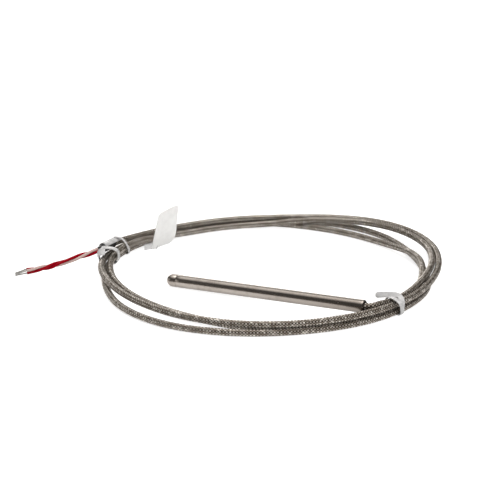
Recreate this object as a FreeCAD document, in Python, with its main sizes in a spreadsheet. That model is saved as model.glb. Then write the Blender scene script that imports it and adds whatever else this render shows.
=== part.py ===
"""Sheathed three-wire resistance thermometer: a round-tipped steel probe with a coiled, braid-covered lead.

Row frame in millimetres: +X runs along the probe from its tip to its cable end, +Z is up, the floor is
z = 0, and the origin is the bottom centre of the probe's own box.
"""

import FreeCAD
import Part
import Sketcher
import math
import os
import re

VECTOR = FreeCAD.Vector

# Driving dimensions: name, size in millimetres or degrees, what it measures.
SIZES = (
    ("sheath_radius", 3.0, "outside radius of the probe"),
    ("sheath_wall", 0.5, "wall of the probe tube"),
    ("probe_length", 100.0, "rounded tip to rolled rear edge"),
    ("rear_lift", 3.0, "how far the lead holds the rear of the axis above the tip of the axis"),
    ("fit_gap", 0.02, "radial and end clearance between seated pieces"),
    ("cap_length", 5.5, "tip of the cap to its weld seam"),
    ("cap_floor", 2.0, "metal in front of the cap's bore"),
    ("spigot_length", 3.0, "part of the cap that enters the tube"),
    ("spigot_wall", 0.6, "wall of the cap's spigot"),
    ("filler_floor", 0.6, "cement in front of the sensing element"),
    ("element_radius", 1.4, "ceramic body of the sensing element"),
    ("element_length", 15.0, "ceramic body of the sensing element"),
    ("lead_radius", 0.15, "leads of the sensing element"),
    ("lead_embed", 2.0, "length of each lead inside the ceramic and inside its crimp"),
    ("lead_height", 0.85, "leads and crimps above and below the probe's axis"),
    ("lead_sleeve_wall", 0.28, "woven sleeve on each element lead"),
    ("crimp_wall", 0.2, "metal round each wire in a crimp"),
    ("crimp_length", 6.0, "crimp barrel"),
    ("crimp_bite", 3.0, "length of each wire inside its crimp"),
    ("red_half_width", 0.62, "each red wire to the middle of the pair"),
    ("white_crimp_at", 40.0, "front of the white wire's crimp behind the tip"),
    ("red_crimp_at", 49.0, "front of the red wires' crimp behind the tip"),
    ("splice_wall", 0.25, "sleeve over each crimp"),
    ("splice_overhang", 0.8, "sleeve beyond each end of its crimp"),
    ("wire_radius", 0.55, "insulated wire"),
    ("cable_radius", 1.75, "braid-covered cable"),
    ("cable_grip", 25.0, "length of cable inside the tube"),
    ("mouth_clearance", 0.15, "rolled rear edge to the cable"),
    ("seal_length", 8.0, "potting round the cable behind the rolled edge"),
    ("lead_inset", 3.0, "start of the free cable inside the mouth"),
    ("lead_reach", 2.0, "first bend of the free cable behind the mouth"),
    ("coil_height", 7.0, "two layers of cable"),
    ("coil_edge", 2.4, "rounded edges of the coil"),
    ("coil_long", 86.4, "outer half length of the coil"),
    ("coil_short", 80.6, "outer half width of the coil"),
    ("coil_turned", 71.4, "direction of the coil's outer length"),
    ("coil_x", -14.6, "middle of the coil's outline"),
    ("coil_y", 34.1, "middle of the coil's outline"),
    ("band_long", 17.6, "width of the coil's strands at the ends of its length"),
    ("band_short", 9.6, "width of the coil's strands at the ends of its width"),
    ("hollow_x", -12.9, "middle of the coil's inner outline"),
    ("hollow_y", 32.0, "middle of the coil's inner outline"),
    ("coil_clearance", 0.75, "coil to the probe, the end sleeve and the ties"),
    ("end_sleeve_wall", 0.35, "shrunk sleeve on the cable's free end"),
    ("end_sleeve_length", 12.0, "shrunk sleeve on the cable's free end"),
    ("end_sleeve_cover", 8.0, "length of cable inside its end sleeve"),
    ("wire_lead_out", 6.0, "first straight run of the free wires"),
    ("strand_radius", 0.3, "tinned strands of a bare wire end"),
    ("bare_length", 5.0, "bare wire end"),
    ("twist_radius", 0.9, "free wires to the middle of their bundle"),
    ("twist_step", 30.0, "turn of the bundle from one point of its route to the next"),
    ("tie_thickness", 0.4, "tie strip"),
    ("tie_corner", 1.6, "inner corners of a tie band"),
    ("tie_foot", 0.7, "inside of a tie band above the floor"),
    ("right_tie_at", -16.4, "direction of the right tie from the coil's middle"),
    ("right_tie_width", 2.2, "right tie along the cable"),
    ("right_tie_inner", 69.3, "inner side of the right tie from the coil's middle"),
    ("right_tie_span", 8.5, "right tie across the strands"),
    ("right_tie_top", 7.6, "inside of the right tie, floor to top"),
    ("right_tie_hip", 5.4, "floor to the slant of the right tie's inner side"),
    ("right_tie_slant", 2.0, "slant of the right tie's inner side"),
    ("front_band_at", 196.0, "direction of the left tie's front band from the coil's middle"),
    ("front_band_width", 3.0, "front band along the cable"),
    ("front_band_inner", 74.7, "inner side of the front band from the coil's middle"),
    ("front_band_span", 9.8, "front band across the strands"),
    ("front_band_top", 8.8, "inside of the front band, floor to top"),
    ("front_band_hip", 6.2, "floor to the slant of the front band's inner side"),
    ("front_band_slant", 2.4, "slant of the front band's inner side"),
    ("back_band_at", 184.4, "direction of the left tie's back band from the coil's middle"),
    ("back_band_width", 1.8, "back band along the cable"),
    ("back_band_inner", 73.3, "inner side of the back band from the coil's middle"),
    ("back_band_span", 11.3, "back band across the strands"),
    ("back_band_top", 9.05, "inside of the back band, floor to top"),
    ("back_band_hip", 3.2, "floor to the slant of the back band's inner side"),
    ("back_band_slant", 5.1, "slant of the back band's inner side"),
    ("film_gap", 0.35, "film of the left tie to the end sleeve under it"),
    ("film_length", 16.0, "film of the left tie from its back band to past the end sleeve"),
    ("film_beyond", 6.0, "film of the left tie past the cable's end"),
    ("film_start", 15.0, "outer edge of the film round the end sleeve"),
    ("film_wrap", 152.0, "film round the end sleeve"),
    ("tie_tail_length", 11.6, "loose end of the right tie"),
    ("tie_tail_width", 2.4, "loose end of the right tie"),
    ("tie_tail_rise", 0.55, "middle of the loose end above its band"),
    ("tie_tail_skew", 20.0, "loose end of the right tie off the band's own direction"),
    ("tie_tail_roll", 30.0, "turn of the loose end towards upright"),
    ("tag_width", 16.6, "marker tag along the cable"),
    ("tag_height", 20.3, "marker tag"),
    ("tag_thickness", 0.3, "two leaves of the marker tag"),
    ("tag_corner", 1.6, "rounded corners of the marker tag"),
    ("tag_foot_corner", 5.0, "large rounded corner at the right of the tag's foot"),
    ("tag_at", 167.9, "direction of the marker tag from the coil's middle"),
    ("tag_radius", 69.0, "foot of the marker tag from the coil's middle"),
    ("tag_lift", 0.7, "foot of the marker tag above the floor"),
    ("tag_lean", 12.0, "lean of the marker tag towards the coil's middle"),
    ("tag_tilt", 2.0, "tilt of the marker tag's right side off the floor"),
    ("tab_length", 5.0, "clear tab from the tag to the coil"),
    ("tab_height", 3.2, "clear tab from the tag to the coil"),
    ("tab_lift", 0.5, "clear tab above the floor"),
    ("tab_along", 4.4, "start of the clear tab from the tag's middle"),
    ("tab_turned", 28.0, "clear tab off the tag's plane"),
)

# Routes of the free cord, chosen by eye; each starts from the piece that the cord leaves.
LEAD_ROUTE = (VECTOR(54.4, 5.3, 6.2), VECTOR(56.8, 11.3, 5.6))
TAIL_ROUTE = (
    VECTOR(-92.9, 44.5, 5.0),
    VECTOR(-92.9, 36.5, 5.3),
    VECTOR(-92.3, 28.6, 6.6),
    VECTOR(-94.6, 16.2, 7.3),
)
WIRE_ROUTE = (
    VECTOR(-98.6, 4.4, 6.7),
    VECTOR(-102.6, -2.4, 5.3),
    VECTOR(-107.3, -8.7, 3.6),
    VECTOR(-112.2, -13.6, 2.5),
    VECTOR(-116.9, -17.7, 2.0),
)
COIL_MIDDLE = VECTOR(-12.0, 33.2, 0.0)

TANGENT_SHARE = 0.45
VOLUME_TOLERANCE = 0.02
POINT_TOLERANCE = 1e-6
FULL_TURN = 360
QUARTER = 90
UPRIGHT_SHARE = 0.5
SHARP_JOIN = 2
WIRES = ("red_a", "red_b", "white")
FAULTS = ("Invalid", "Error")

doc = FreeCAD.newDocument("rtd_probe")
sheet = doc.addObject("Spreadsheet::Sheet", "sizes")
nodes = []


def fill_sheet():
    """Write every driving dimension to the sheet as a plain number with its name as alias."""
    for row, (name, value, meaning) in enumerate(SIZES, start=1):
        sheet.set(f"A{row}", meaning)
        sheet.set(f"B{row}", str(value))
        sheet.setAlias(f"B{row}", name)
    doc.recompute()


def bound(text):
    """Return an expression on the sheet from plain size names."""
    names = "|".join(name for name, _, _ in SIZES)
    return re.sub(rf"\b({names})\b", r"sizes.\1", text)


def size(text):
    """Return the value of an expression in plain size names."""
    return float(sheet.evalExpression(bound(text)))


def keep(piece, label):
    """Name a finished sub-part and put it on the list of nodes."""
    piece.Label = label
    nodes.append(piece)
    return piece


# Frames

def probe_frame():
    """Return the probe's frame: origin at the centre of the round tip, X along the axis to the rear."""
    tilt = math.asin(size("rear_lift / (probe_length - sheath_radius)"))
    turn = FreeCAD.Rotation(VECTOR(0, 1, 0), -math.degrees(tilt))
    start = VECTOR(-size("probe_length / 2 - sheath_radius"), 0, size("sheath_radius"))
    return FreeCAD.Placement(start, turn)


def coil_frame(direction, radius, height):
    """Return a frame on the coil: X outwards, Y along the cable, Z up."""
    turn = FreeCAD.Rotation(VECTOR(0, 0, 1), size(direction))
    base = COIL_MIDDLE + turn.multVec(VECTOR(size(radius), 0, size(height)))
    return FreeCAD.Placement(base, turn)


def along(start, heading):
    """Return a frame at start whose Z runs along heading."""
    return FreeCAD.Placement(start, FreeCAD.Rotation(VECTOR(0, 0, 1), heading))


def on_axis(position, side="0", height="0"):
    """Return a frame in the probe whose Z runs to the rear, from a position behind the tip's centre."""
    local = FreeCAD.Placement(
        VECTOR(size(position), size(side), size(height)), FreeCAD.Rotation(VECTOR(0, 1, 0), QUARTER)
    )
    return probe_frame().multiply(local)


# Building blocks

def rod(name, radius, length):
    """Return a round rod along Z with both sizes bound to the sheet."""
    item = doc.addObject("Part::Cylinder", name)
    item.setExpression("Radius", bound(radius))
    item.setExpression("Height", bound(length))
    return item


def cut(name, base, tool):
    """Return base with tool taken away."""
    item = doc.addObject("Part::Cut", name)
    item.Base = base
    item.Tool = tool
    return item


def tube(name, outer, inner, length):
    """Return a round tube along Z."""
    return cut(name, rod(name + "_outside", outer, length), rod(name + "_inside", inner, length))


def origin_plane(body, role):
    """Return one of a body's own origin planes."""
    return next(plane for plane in body.Origin.OriginFeatures if plane.Role == role)


def new_sketch(body, name, role, offset="0"):
    """Return a sketch on one of a body's origin planes, moved along the plane's normal."""
    sketch = body.newObject("Sketcher::SketchObject", name)
    sketch.AttachmentSupport = [(origin_plane(body, role), "")]
    sketch.MapMode = "FlatFace"
    sketch.setExpression("AttachmentOffset.Base.z", bound(offset))
    return sketch


def pin_point(sketch, edge, end, x_size, y_size):
    """Hold one end of an edge at two bound distances from the sketch's origin."""
    for kind, text in (("DistanceX", x_size), ("DistanceY", y_size)):
        number = sketch.addConstraint(Sketcher.Constraint(kind, -1, 1, edge, end, size(text)))
        sketch.setExpression(f"Constraints[{number}]", bound(text))


def arc_middle(start, finish, radius, side):
    """Return the middle of the shorter arc between two points, bulging to the left (1) or right (-1)."""
    chord = finish - start
    normal = VECTOR(-chord.y, chord.x, 0).normalize()
    rise = radius - math.sqrt(max(radius ** 2 - chord.Length ** 2 / 4, 0.0))
    return (start + finish) * 0.5 + normal * (side * rise)


def outline(sketch, corners):
    """Draw a closed outline; a corner is (x, y) or (x, y, arc radius to the next corner, side)."""
    points = [VECTOR(size(corner[0]), size(corner[1]), 0) for corner in corners]
    first = sketch.GeometryCount
    for index, corner in enumerate(corners):
        start = points[index]
        finish = points[(index + 1) % len(points)]
        if len(corner) == 2:
            sketch.addGeometry(Part.LineSegment(start, finish))
        else:
            middle = arc_middle(start, finish, size(corner[2]), corner[3])
            sketch.addGeometry(Part.Arc(start, middle, finish))
    ends = [edge_ends(sketch, first + index, points[index]) for index in range(len(corners))]
    for index, corner in enumerate(corners):
        after = (index + 1) % len(corners)
        sketch.addConstraint(
            Sketcher.Constraint("Coincident", first + index, ends[index][1], first + after, ends[after][0])
        )
        pin_point(sketch, first + index, ends[index][0], corner[0], corner[1])
        if len(corner) > 2:
            number = sketch.addConstraint(Sketcher.Constraint("Radius", first + index, size(corner[2])))
            sketch.setExpression(f"Constraints[{number}]", bound(corner[2]))


def edge_ends(sketch, edge, start):
    """Return the sketch's numbers of an edge's first and last points, which an arc may swap."""
    return (1, 2) if sketch.getPoint(edge, 1).isEqual(start, POINT_TOLERANCE) else (2, 1)


def circle(sketch, x_size, y_size, radius):
    """Draw a bound circle."""
    middle = VECTOR(size(x_size), size(y_size), 0)
    edge = sketch.addGeometry(Part.Circle(middle, VECTOR(0, 0, 1), size(radius)))
    number = sketch.addConstraint(Sketcher.Constraint("Radius", edge, size(radius)))
    sketch.setExpression(f"Constraints[{number}]", bound(radius))
    pin_point(sketch, edge, 3, x_size, y_size)


def turned(name, corners):
    """Return a body turned about its X axis from an outline of lengths and radii."""
    body = doc.addObject("PartDesign::Body", name)
    sketch = new_sketch(body, name + "_profile", "XZ_Plane")
    outline(sketch, corners)
    doc.recompute()
    feature = body.newObject("PartDesign::Revolution", name + "_turned")
    feature.Profile = sketch
    feature.ReferenceAxis = (sketch, ["H_Axis"])
    feature.Angle = FULL_TURN
    doc.recompute()
    return body


def padded(name, role, corners, length):
    """Return a body padded from one outline."""
    body = doc.addObject("PartDesign::Body", name)
    sketch = new_sketch(body, name + "_outline", role)
    outline(sketch, corners)
    doc.recompute()
    feature = body.newObject("PartDesign::Pad", name + "_pad")
    feature.Profile = sketch
    feature.setExpression("Length", bound(length))
    doc.recompute()
    return body


def drilled(body, name, at_rear, holes, depth):
    """Drill round blind holes into a body along X, from its rear at a length or from its front at 0."""
    before = body.Shape.Volume
    sketch = new_sketch(body, name + "_holes", "YZ_Plane", at_rear)
    for side, height, radius in holes:
        circle(sketch, side, height, radius)
    doc.recompute()
    feature = body.newObject("PartDesign::Pocket", name)
    feature.Profile = sketch
    feature.setExpression("Length", bound(depth))
    feature.Reversed = at_rear == "0"
    doc.recompute()
    expected = sum(math.pi * size(hole[2]) ** 2 for hole in holes) * size(depth)
    if abs(before - body.Shape.Volume - expected) > VOLUME_TOLERANCE * expected:
        raise ValueError(f"{name} took {before - body.Shape.Volume:.3f} mm3, not {expected:.3f}")


# Cord tubes

def cord_path(label, points):
    """Return a wire of straight runs joined by tangent arcs, each arc as large as its runs allow."""
    edges = []
    last = points[0]
    for before, corner, after in zip(points, points[1:], points[2:]):
        back = before - corner
        ahead = after - corner
        turn = math.pi - back.getAngle(ahead)
        reach = TANGENT_SHARE * min(back.Length, ahead.Length)
        radius = reach / math.tan(turn / 2)
        print(f"{label}: bend {math.degrees(turn):.0f} degrees, radius {radius:.1f} mm")
        start = corner + back.normalize() * reach
        finish = corner + ahead.normalize() * reach
        inward = (back + ahead).normalize()
        middle = corner + inward * (radius / math.cos(turn / 2) - radius)
        edges.append(Part.LineSegment(last, start).toShape())
        edges.append(Part.Arc(start, middle, finish).toShape())
        last = finish
    edges.append(Part.LineSegment(last, points[-1]).toShape())
    return Part.Wire(edges)


def cord_tube(label, points, radius):
    """Add a round tube along a cord's route and compare its volume with section times length."""
    path = cord_path(label, points)
    section = Part.Wire(Part.Circle(points[0], points[1] - points[0], radius).toShape())
    solid = path.makePipeShell([section], True, False)
    expected = math.pi * radius ** 2 * path.Length
    if abs(solid.Volume - expected) > VOLUME_TOLERANCE * expected:
        raise ValueError(f"{label} has {solid.Volume:.1f} mm3, not {expected:.1f}")
    piece = doc.addObject("Part::Feature", label)
    piece.Shape = solid
    print(f"{label}: {path.Length:.1f} mm long")
    return keep(piece, label)


# The probe and what it holds

def make_sheath():
    """Make the welded round tip and the tube with its rolled rear edge."""
    seam = "cap_length - sheath_radius"
    spigot_end = f"{seam} + spigot_length"
    spigot = "sheath_radius - sheath_wall - fit_gap"
    bore = f"{spigot} - spigot_wall"
    bore_floor = "cap_floor - sheath_radius"
    cap = turned("tip_cap_body", (
        ("-sheath_radius", "0", "sheath_radius", 1),
        ("0", "sheath_radius"),
        (seam, "sheath_radius"),
        (seam, spigot),
        (spigot_end, spigot),
        (spigot_end, bore),
        (bore_floor, bore),
        (bore_floor, "0"),
    ))
    keep(cap, "tip_cap").Placement = probe_frame()

    rear = "probe_length - sheath_radius"
    mouth = "cable_radius + mouth_clearance"
    roll = f"sheath_radius - ({mouth})"
    roll_start = f"{rear} - ({roll})"
    inside = "sheath_radius - sheath_wall"
    body = turned("sheath_tube_body", (
        (seam, inside),
        (seam, "sheath_radius"),
        (roll_start, "sheath_radius", roll, 1),
        (rear, mouth),
        (f"{rear} - sheath_wall", mouth, f"{roll} - sheath_wall", -1),
        (roll_start, inside),
    ))
    keep(body, "sheath_tube").Placement = probe_frame()


def make_element():
    """Make the ceramic element, its cement bed, its two leads and their sleeves."""
    front = "cap_floor - sheath_radius + filler_floor"
    element_rear = f"{front} + element_length"
    bed = "element_radius + fit_gap"
    bed_floor = f"{front} - fit_gap"
    spigot_end = "cap_length - sheath_radius + spigot_length"
    in_cap = "sheath_radius - sheath_wall - 2 * fit_gap - spigot_wall"
    in_tube = "sheath_radius - sheath_wall - fit_gap"
    filler = turned("tip_filler_body", (
        ("cap_floor - sheath_radius + fit_gap", "0"),
        ("cap_floor - sheath_radius + fit_gap", in_cap),
        (f"{spigot_end} + fit_gap", in_cap),
        (f"{spigot_end} + fit_gap", in_tube),
        (element_rear, in_tube),
        (element_rear, bed),
        (bed_floor, bed),
        (bed_floor, "0"),
    ))
    keep(filler, "tip_filler").Placement = probe_frame()

    element = turned("element_turned_body", (
        ("0", "0"),
        ("0", "element_radius"),
        ("element_length", "element_radius"),
        ("element_length", "0"),
    ))
    lead_hole = "lead_radius + fit_gap"
    holes = (("0", "lead_height", lead_hole), ("0", "-lead_height", lead_hole))
    drilled(element, "element_lead_holes", "element_length", holes, "lead_embed + fit_gap")
    keep(element, "element_body").Placement = probe_frame().multiply(
        FreeCAD.Placement(VECTOR(size(front), 0, 0), FreeCAD.Rotation())
    )

    lead_start = f"{element_rear} - lead_embed"
    leads = (("a", "lead_height", "red_crimp_at"), ("b", "-lead_height", "white_crimp_at"))
    for letter, height, crimp in leads:
        crimp_front = f"{crimp} - sheath_radius"
        lead = rod(f"lead_{letter}_rod", "lead_radius", f"{crimp_front} + lead_embed - ({lead_start})")
        keep(lead, f"element_lead_{letter}").Placement = on_axis(lead_start, "0", height)
        sleeve_length = f"{crimp_front} - ({element_rear}) - 2 * splice_overhang"
        sleeve = tube(f"lead_sleeve_{letter}_tube", "lead_radius + fit_gap + lead_sleeve_wall",
                      "lead_radius + fit_gap", sleeve_length)
        keep(sleeve, f"lead_sleeve_{letter}").Placement = on_axis(f"{element_rear} + fit_gap", "0", height)


def make_splices():
    """Make the two crimps that join the wires to the element's leads, and the sleeves over them."""
    barrel = "wire_radius + fit_gap + crimp_wall"
    splices = (
        ("red", "red_crimp_at", "lead_height", ("red_half_width", "-red_half_width")),
        ("white", "white_crimp_at", "-lead_height", ("0",)),
    )
    for colour, position, height, sides in splices:
        front = f"{position} - sheath_radius"
        half = sides[0]
        crimp = splice_bar(f"crimp_{colour}_bar", half, barrel, "crimp_length")
        wire_holes = [(side, "0", "wire_radius + fit_gap") for side in sides]
        drilled(crimp, f"crimp_{colour}_wire_holes", "crimp_length", wire_holes, "crimp_bite + fit_gap")
        drilled(crimp, f"crimp_{colour}_lead_hole", "0", [("0", "0", "lead_radius + fit_gap")],
                "lead_embed + fit_gap")
        keep(crimp, f"crimp_{colour}").Placement = probe_frame().multiply(
            FreeCAD.Placement(VECTOR(size(front), 0, size(height)), FreeCAD.Rotation())
        )
        cover = "crimp_length + 2 * splice_overhang"
        outside = splice_bar(f"splice_{colour}_outside", half, f"{barrel} + fit_gap + splice_wall", cover)
        inside = splice_bar(f"splice_{colour}_inside", half, f"{barrel} + fit_gap", cover)
        sleeve = cut(f"splice_{colour}_cover", outside, inside)
        keep(sleeve, f"splice_sleeve_{colour}").Placement = probe_frame().multiply(
            FreeCAD.Placement(VECTOR(size(f"{front} - splice_overhang"), 0, size(height)), FreeCAD.Rotation())
        )


def splice_bar(name, half, radius, length):
    """Return a bar along X: round for one wire, or with two round sides for a pair."""
    if half == "0":
        corners = (
            ("0", f"-({radius})", radius, -1),
            (radius, "0", radius, -1),
            ("0", radius, radius, -1),
            (f"-({radius})", "0", radius, -1),
        )
    else:
        corners = (
            (f"-({half})", f"-({radius})"),
            (half, f"-({radius})", radius, -1),
            (f"{half} + {radius}", "0", radius, -1),
            (half, radius),
            (f"-({half})", radius, radius, -1),
            (f"-({half}) - ({radius})", "0", radius, -1),
        )
    return padded(name, "YZ_Plane", corners, length)


def make_held_cable():
    """Make the wires from the crimps to the cable, the cable's held end and the potting round it."""
    cable_front = "probe_length - sheath_radius - cable_grip"
    wires = (
        ("red_a", "red_crimp_at", "red_half_width", "lead_height"),
        ("red_b", "red_crimp_at", "-red_half_width", "lead_height"),
        ("white", "white_crimp_at", "0", "-lead_height"),
    )
    for name, crimp, side, height in wires:
        start = f"{crimp} - sheath_radius + crimp_length - crimp_bite"
        wire = rod(f"inner_wire_{name}_rod", "wire_radius", f"{cable_front} - ({start})")
        keep(wire, f"inner_wire_{name}").Placement = on_axis(start, side, height)

    held = rod("cable_held_rod", "cable_radius", "cable_grip - lead_inset")
    keep(held, "cable_held_end").Placement = on_axis(cable_front)

    roll_start = "probe_length - 2 * sheath_radius + cable_radius + mouth_clearance"
    seal_outside = "sheath_radius - sheath_wall - fit_gap"
    seal = tube("rear_seal_tube", seal_outside, "cable_radius + fit_gap", "seal_length")
    keep(seal, "rear_seal").Placement = on_axis(f"{roll_start} - fit_gap - seal_length")


# The free cable, its coil and its end

def make_lead():
    """Make the cable from the probe's mouth to the coil, bent hard where it leaves the mouth."""
    frame = probe_frame()
    rear = size("probe_length - sheath_radius")
    start = frame.multVec(VECTOR(rear - size("lead_inset"), 0, 0))
    bend = frame.multVec(VECTOR(rear + size("lead_reach"), 0, 0))
    cord_tube("cable_lead", (start, bend) + LEAD_ROUTE, size("cable_radius"))


def ellipse_wire(half_length, half_width, turned_by, middle):
    """Return a closed ellipse flat on the floor, its length along turned_by, whichever half is larger."""
    if half_length < half_width:
        half_length, half_width = half_width, half_length
        turned_by += QUARTER
    ellipse = Part.Ellipse(VECTOR(0, 0, 0), half_length, half_width)
    wire = Part.Wire(ellipse.toShape())
    wire.Placement = FreeCAD.Placement(middle, FreeCAD.Rotation(VECTOR(0, 0, 1), turned_by))
    return wire


def make_coil():
    """Make one closed solid of the coil's outer shape, clear of the probe, the end sleeve and the ties."""
    outer = ellipse_wire(size("coil_long"), size("coil_short"), size("coil_turned"),
                         VECTOR(size("coil_x"), size("coil_y"), 0))
    inner = ellipse_wire(size("coil_long - band_long"), size("coil_short - band_short"), size("coil_turned"),
                         VECTOR(size("hollow_x"), size("hollow_y"), 0))
    height = VECTOR(0, 0, size("coil_height"))
    ring = Part.Face(outer).extrude(height).cut(Part.Face(inner).extrude(height))
    rims = [edge for edge in ring.Edges if len(edge.Vertexes) == 1]
    ring = ring.makeFillet(size("coil_edge"), rims)

    clearance = size("coil_clearance")
    rear = size("probe_length - sheath_radius")
    room = Part.makeCylinder(size("sheath_radius") + clearance, rear + clearance)
    room.Placement = on_axis("0")
    sleeve_start, sleeve_heading = end_sleeve_axis()
    sleeve_radius = size("cable_radius + fit_gap + end_sleeve_wall") + clearance
    sleeve_room = Part.makeCylinder(sleeve_radius, size("end_sleeve_length") + 2 * clearance)
    sleeve_room.Placement = along(sleeve_start - sleeve_heading * clearance, sleeve_heading)
    ring = ring.cut(room).cut(sleeve_room)
    for band in BANDS:
        ring = ring.cut(tie_groove(band))
    piece = doc.addObject("Part::Feature", "cable_coil")
    piece.Shape = ring.removeSplitter()
    keep(piece, "cable_coil")


def end_sleeve_axis():
    """Return where the end sleeve starts on the cable's last run, and which way it points."""
    heading = (TAIL_ROUTE[-1] - TAIL_ROUTE[-2]).normalize()
    return TAIL_ROUTE[-1] - heading * size("end_sleeve_cover"), heading


def make_tail():
    """Make the cable's free end, which leaves the coil on top, and the shrunk sleeve over it."""
    cord_tube("cable_tail", TAIL_ROUTE, size("cable_radius"))
    start, heading = end_sleeve_axis()
    bore = "cable_radius + fit_gap"
    sleeve = tube("end_sleeve_tube", f"{bore} + end_sleeve_wall", bore, "end_sleeve_length")
    keep(sleeve, "end_sleeve").Placement = along(start, heading)


def make_wires():
    """Make the three twisted wires that leave the cable's free end, and their bare ends."""
    heading = (TAIL_ROUTE[-1] - TAIL_ROUTE[-2]).normalize()
    side = heading.cross(VECTOR(0, 0, 1)).normalize()
    lift = side.cross(heading)
    middles = (TAIL_ROUTE[-1] + heading * size("wire_lead_out"),) + WIRE_ROUTE
    for index, name in enumerate(WIRES):
        first_angle = index * FULL_TURN / len(WIRES)
        points = []
        for step, middle in enumerate(middles):
            angle = math.radians(first_angle + step * size("twist_step"))
            offset = side * math.cos(angle) + lift * math.sin(angle)
            points.append(middle + offset * size("twist_radius"))
        points.insert(0, points[0] - heading * size("wire_lead_out"))
        cord_tube(f"pigtail_{name}", points, size("wire_radius"))
        bare = rod(f"bare_{name}_rod", "strand_radius", "bare_length")
        end_heading = (points[-1] - points[-2]).normalize()
        keep(bare, f"bare_end_{name}").Placement = along(points[-1], end_heading)


# Ties and tag

BANDS = ("right_tie", "front_band", "back_band")


def tie_placement(band):
    """Return a band's frame: X outwards from the coil's middle, Y up, Z back along the cable."""
    upright = FreeCAD.Rotation(VECTOR(1, 0, 0), QUARTER)
    return coil_frame(f"{band}_at", "0", "0").multiply(FreeCAD.Placement(VECTOR(0, 0, 0), upright))


def tie_core(band, grown, depth):
    """Return the room inside a band, grown all round, as a prism with rounded corners."""
    inner = size(f"{band}_inner")
    outer = size(f"{band}_inner + {band}_span")
    foot = size("tie_foot")
    top = size(f"{band}_top")
    corners = [
        VECTOR(inner, foot, -depth / 2),
        VECTOR(outer, foot, -depth / 2),
        VECTOR(outer, top, -depth / 2),
        VECTOR(inner + size(f"{band}_slant"), top, -depth / 2),
        VECTOR(inner, size(f"{band}_hip"), -depth / 2),
    ]
    face = Part.Face(Part.makePolygon(corners + corners[:1])).makeOffset2D(grown, SHARP_JOIN)
    prism = face.extrude(VECTOR(0, 0, depth))
    posts = [edge for edge in prism.Edges if abs(edge.tangentAt(edge.FirstParameter).z) > UPRIGHT_SHARE]
    core = prism.makeFillet(size("tie_corner") + grown, posts)
    core.Placement = tie_placement(band)
    return core


def tie_groove(band):
    """Return what the coil gives up to a band: all that is outside the band's room within its width."""
    depth = size(f"{band}_width + 2 * coil_clearance")
    reach = size(f"{band}_span + {band}_top")
    corner = VECTOR(size(f"{band}_inner") - reach / 2, -reach / 2, -depth / 2)
    block = Part.makeBox(2 * reach, 2 * reach, depth, corner)
    block.Placement = tie_placement(band)
    return block.cut(tie_core(band, -size("fit_gap"), depth))


def tie_band(name, band):
    """Return one closed band of tie strip."""
    width = size(f"{band}_width")
    item = doc.addObject("Part::Feature", name)
    item.Shape = tie_core(band, size("tie_thickness"), width).cut(tie_core(band, 0, width))
    return item


def tie_tail():
    """Return the loose end of the right tie, which leaves the top of its band and runs inwards."""
    tail = doc.addObject("Part::Box", "tie_right_tail")
    tail.setExpression("Length", bound("tie_tail_length"))
    tail.setExpression("Width", bound("tie_thickness"))
    tail.setExpression("Height", bound("tie_tail_width"))
    start = VECTOR(
        size("right_tie_inner + right_tie_span - tie_corner"),
        size("right_tie_top + tie_thickness + tie_tail_rise"),
        0,
    )
    inwards = FreeCAD.Rotation(VECTOR(0, 1, 0), 2 * QUARTER + size("tie_tail_skew"))
    roll = FreeCAD.Rotation(VECTOR(1, 0, 0), -size("tie_tail_roll"))
    corner = VECTOR(0, -size("tie_thickness") / 2, -size("tie_tail_width") / 2)
    centred = FreeCAD.Placement(corner, FreeCAD.Rotation())
    local = FreeCAD.Placement(start, inwards.multiply(roll)).multiply(centred)
    tail.Placement = tie_placement("right_tie").multiply(local)
    return tail


def tie_film():
    """Return the film that runs over the end sleeve from one band of the left tie to the other."""
    bore = "cable_radius + fit_gap + end_sleeve_wall + film_gap"
    outside = rod("tie_left_film_outside", f"{bore} + tie_thickness", "film_length")
    outside.setExpression("Angle", bound("film_wrap"))
    film = cut("tie_left_film", outside, rod("tie_left_film_inside", bore, "film_length"))
    _, heading = end_sleeve_axis()
    side = heading.cross(VECTOR(0, 0, 1)).normalize()
    lift = side.cross(heading)
    start = TAIL_ROUTE[-1] + heading * size("film_beyond")
    frame = FreeCAD.Placement(start, FreeCAD.Rotation(side, lift, -heading, "ZXY"))
    film.Placement = frame.multiply(
        FreeCAD.Placement(VECTOR(0, 0, 0), FreeCAD.Rotation(VECTOR(0, 0, 1), size("film_start")))
    )
    return film


def joined(name, pieces):
    """Return several touching pieces as one."""
    item = doc.addObject("Part::MultiFuse", name)
    item.Shapes = pieces
    return item


def make_ties():
    """Make the right tie with its loose end, and the left tie of two bands and a film over the end sleeve."""
    keep(joined("tie_right_whole", [tie_band("tie_right_band", "right_tie"), tie_tail()]), "tie_right")
    bands = [tie_band(f"tie_left_{band}", band) for band in ("front_band", "back_band")]
    keep(joined("tie_left_whole", bands + [tie_film()]), "tie_left")


def tag_outline():
    """Return the tag's corners about its middle: three small ones and a large one at its foot."""
    span = "tag_width / 2"
    rise = "tag_height / 2"
    return (
        (f"tag_foot_corner - {span}", f"-{rise}"),
        (f"{span} - tag_corner", f"-{rise}", "tag_corner", -1),
        (span, f"tag_corner - {rise}"),
        (span, f"{rise} - tag_corner", "tag_corner", -1),
        (f"{span} - tag_corner", rise),
        (f"tag_corner - {span}", rise, "tag_corner", -1),
        (f"-{span}", f"{rise} - tag_corner"),
        (f"-{span}", f"tag_foot_corner - {rise}", "tag_foot_corner", -1),
    )


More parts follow.
